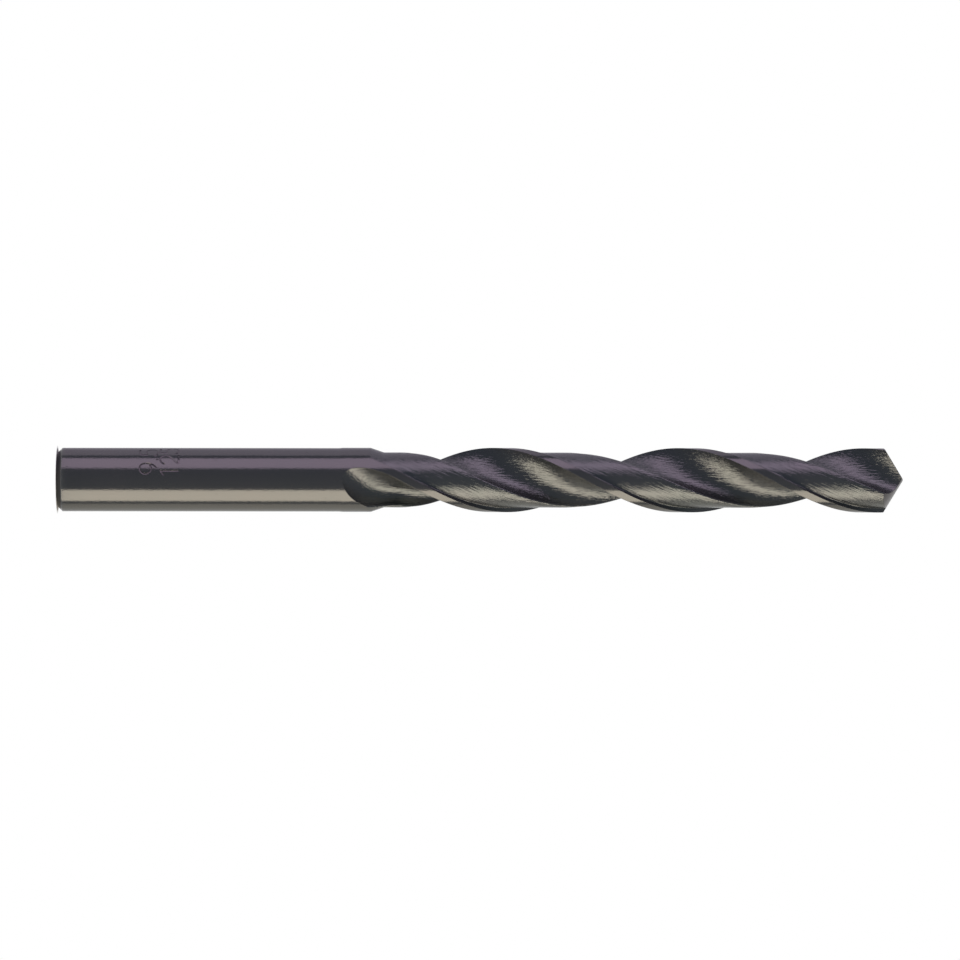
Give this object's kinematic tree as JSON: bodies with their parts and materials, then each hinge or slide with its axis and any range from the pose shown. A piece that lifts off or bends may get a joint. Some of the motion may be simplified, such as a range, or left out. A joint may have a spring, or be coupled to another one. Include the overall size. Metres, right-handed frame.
{
  "type": "twist drill bit",
  "caption": "Straight-shank jobber twist drill for metal, with helical flutes and a conically ground point.",
  "frame": {"origin": "centre of the flat end face of the shank", "axes": "+Z along the drill's axis from the shank end to the point, so that it stands on its shank; +X 39 degrees before the first cutting corner, measured at the height of the chisel edge"},
  "size_m": [0.0094, 0.0094, 0.125],
  "materials": {
    "black_oxide_steel": "high-speed steel, ground and black-oxide coated, glossy near-black with a slight violet and bronze tint"
  },
  "bodies": {
    "root": {"twist_drill": "black_oxide_steel"}
  },
  "joints": []
}
